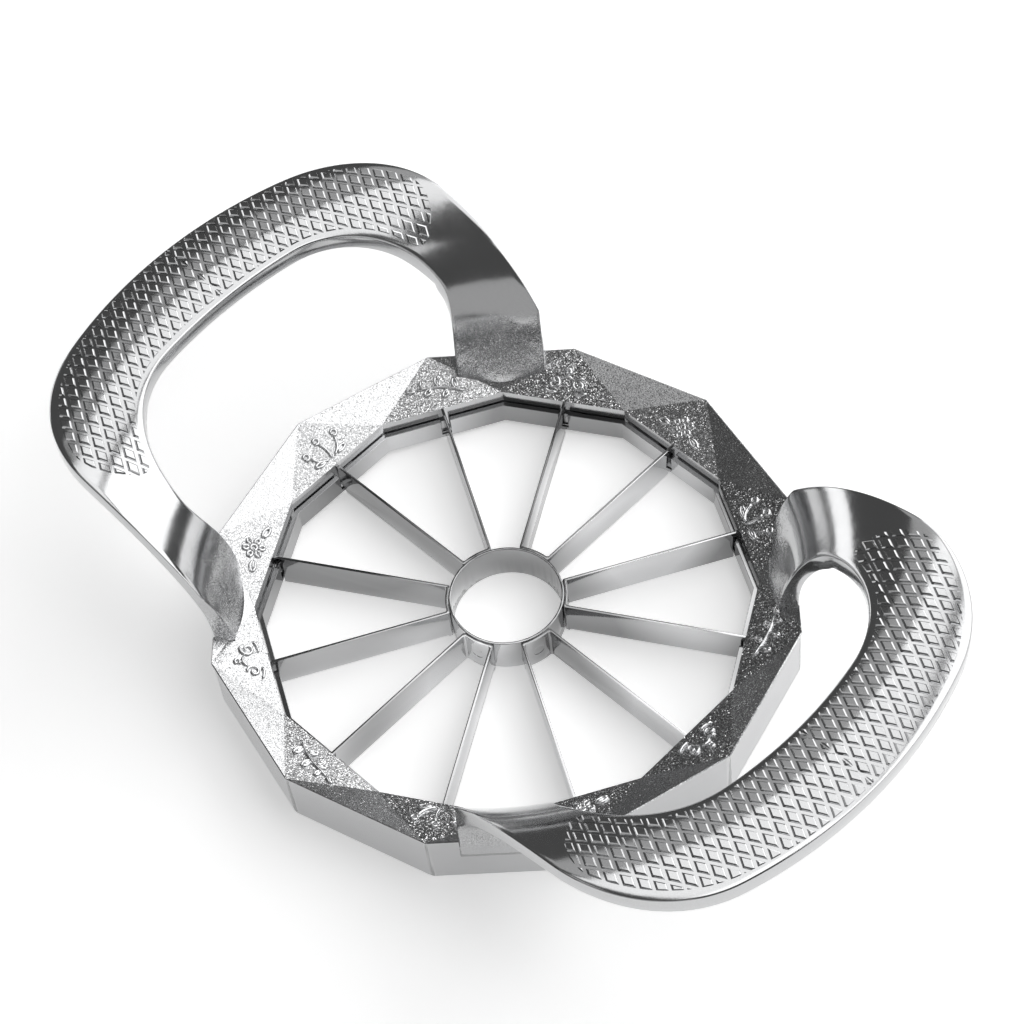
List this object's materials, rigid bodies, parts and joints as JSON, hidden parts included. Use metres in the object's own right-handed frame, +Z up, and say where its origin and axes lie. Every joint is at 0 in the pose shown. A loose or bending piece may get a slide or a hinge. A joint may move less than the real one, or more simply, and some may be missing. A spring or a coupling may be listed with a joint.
{
  "type": "apple divider",
  "caption": "Cast ring with radial blades round a core cutter and a looped handle on each side; pressed down by hand, it cuts an apple into wedges and takes out the core.",
  "frame": {"origin": "on the ring's axis, in the plane that the ring, the blades and the core cutter rest on", "axes": "+X through the tip of one handle, +Z up, away from the cutting edges"},
  "size_m": [0.1964, 0.1244, 0.0447],
  "materials": {
    "ring_cast": "grainy as-cast silver, smooth on the skirt",
    "handle_cast": "satin silver, fine grain",
    "blade_steel": "smooth polished strip steel"
  },
  "bodies": {
    "root": {"ring_casting": "ring_cast", "handle_right": "handle_cast", "handle_left": "handle_cast", "blade_band": "blade_steel", "core_ring": "blade_steel", "blade_pair_1": "blade_steel", "blade_pair_2": "blade_steel", "blade_pair_3": "blade_steel", "blade_pair_4": "blade_steel", "blade_pair_5": "blade_steel", "blade_pair_6": "blade_steel"}
  },
  "joints": []
}
